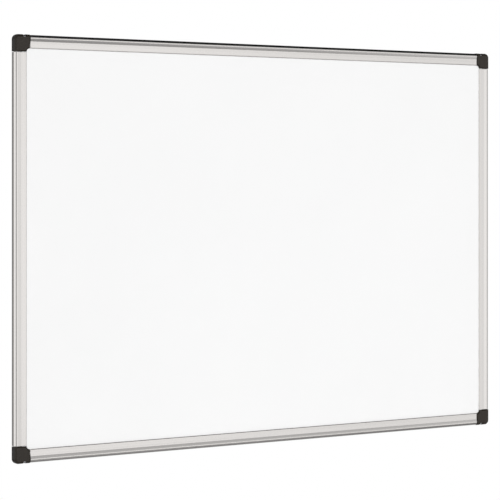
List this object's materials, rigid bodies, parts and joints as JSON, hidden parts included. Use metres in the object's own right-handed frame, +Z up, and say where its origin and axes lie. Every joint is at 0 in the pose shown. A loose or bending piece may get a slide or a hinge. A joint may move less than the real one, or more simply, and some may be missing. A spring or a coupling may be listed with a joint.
{
  "type": "magnetic whiteboard",
  "caption": "Small wall-hung magnetic dry-wipe board: a white lacquered steel panel in a slim aluminium frame, with corner covers that pull off the screw holes.",
  "frame": {"origin": "middle of the four wall screw holes, in the wall plane behind the frame", "axes": "+X to the reader's right along the long side, +Y into the wall, +Z up"},
  "size_m": [0.3504, 0.0044, 0.2504],
  "materials": {
    "white_lacquer": "gloss",
    "fibreboard": "raw",
    "galvanised_steel": "satin",
    "anodised_rail": "satin",
    "die_cast_key": "as cast",
    "charcoal_plastic": "matte",
    "zinc_screw": "bright"
  },
  "bodies": {
    "frame": {"writing_sheet": "white_lacquer", "core_board": "fibreboard", "backing_sheet": "galvanised_steel", "top_rail": "anodised_rail", "bottom_rail": "anodised_rail", "left_rail": "anodised_rail", "right_rail": "anodised_rail", "corner_key_top_left": "die_cast_key", "corner_key_top_right": "die_cast_key", "corner_key_bottom_left": "die_cast_key", "corner_key_bottom_right": "die_cast_key", "frame_screws": "zinc_screw"},
    "cover_top_left": {"corner_cover_top_left": "charcoal_plastic"},
    "cover_top_right": {"corner_cover_top_right": "charcoal_plastic"},
    "cover_bottom_left": {"corner_cover_bottom_left": "charcoal_plastic"},
    "cover_bottom_right": {"corner_cover_bottom_right": "charcoal_plastic"}
  },
  "joints": [
    {"name": "cover_top_left_pull", "type": "slide", "parent": "frame", "child": "cover_top_left", "axis": [0, -1, 0], "range_m": [0, 0.012]},
    {"name": "cover_top_right_pull", "type": "slide", "parent": "frame", "child": "cover_top_right", "axis": [0, -1, 0], "range_m": [0, 0.012]},
    {"name": "cover_bottom_left_pull", "type": "slide", "parent": "frame", "child": "cover_bottom_left", "axis": [0, -1, 0], "range_m": [0, 0.012]},
    {"name": "cover_bottom_right_pull", "type": "slide", "parent": "frame", "child": "cover_bottom_right", "axis": [0, -1, 0], "range_m": [0, 0.012]}
  ]
}
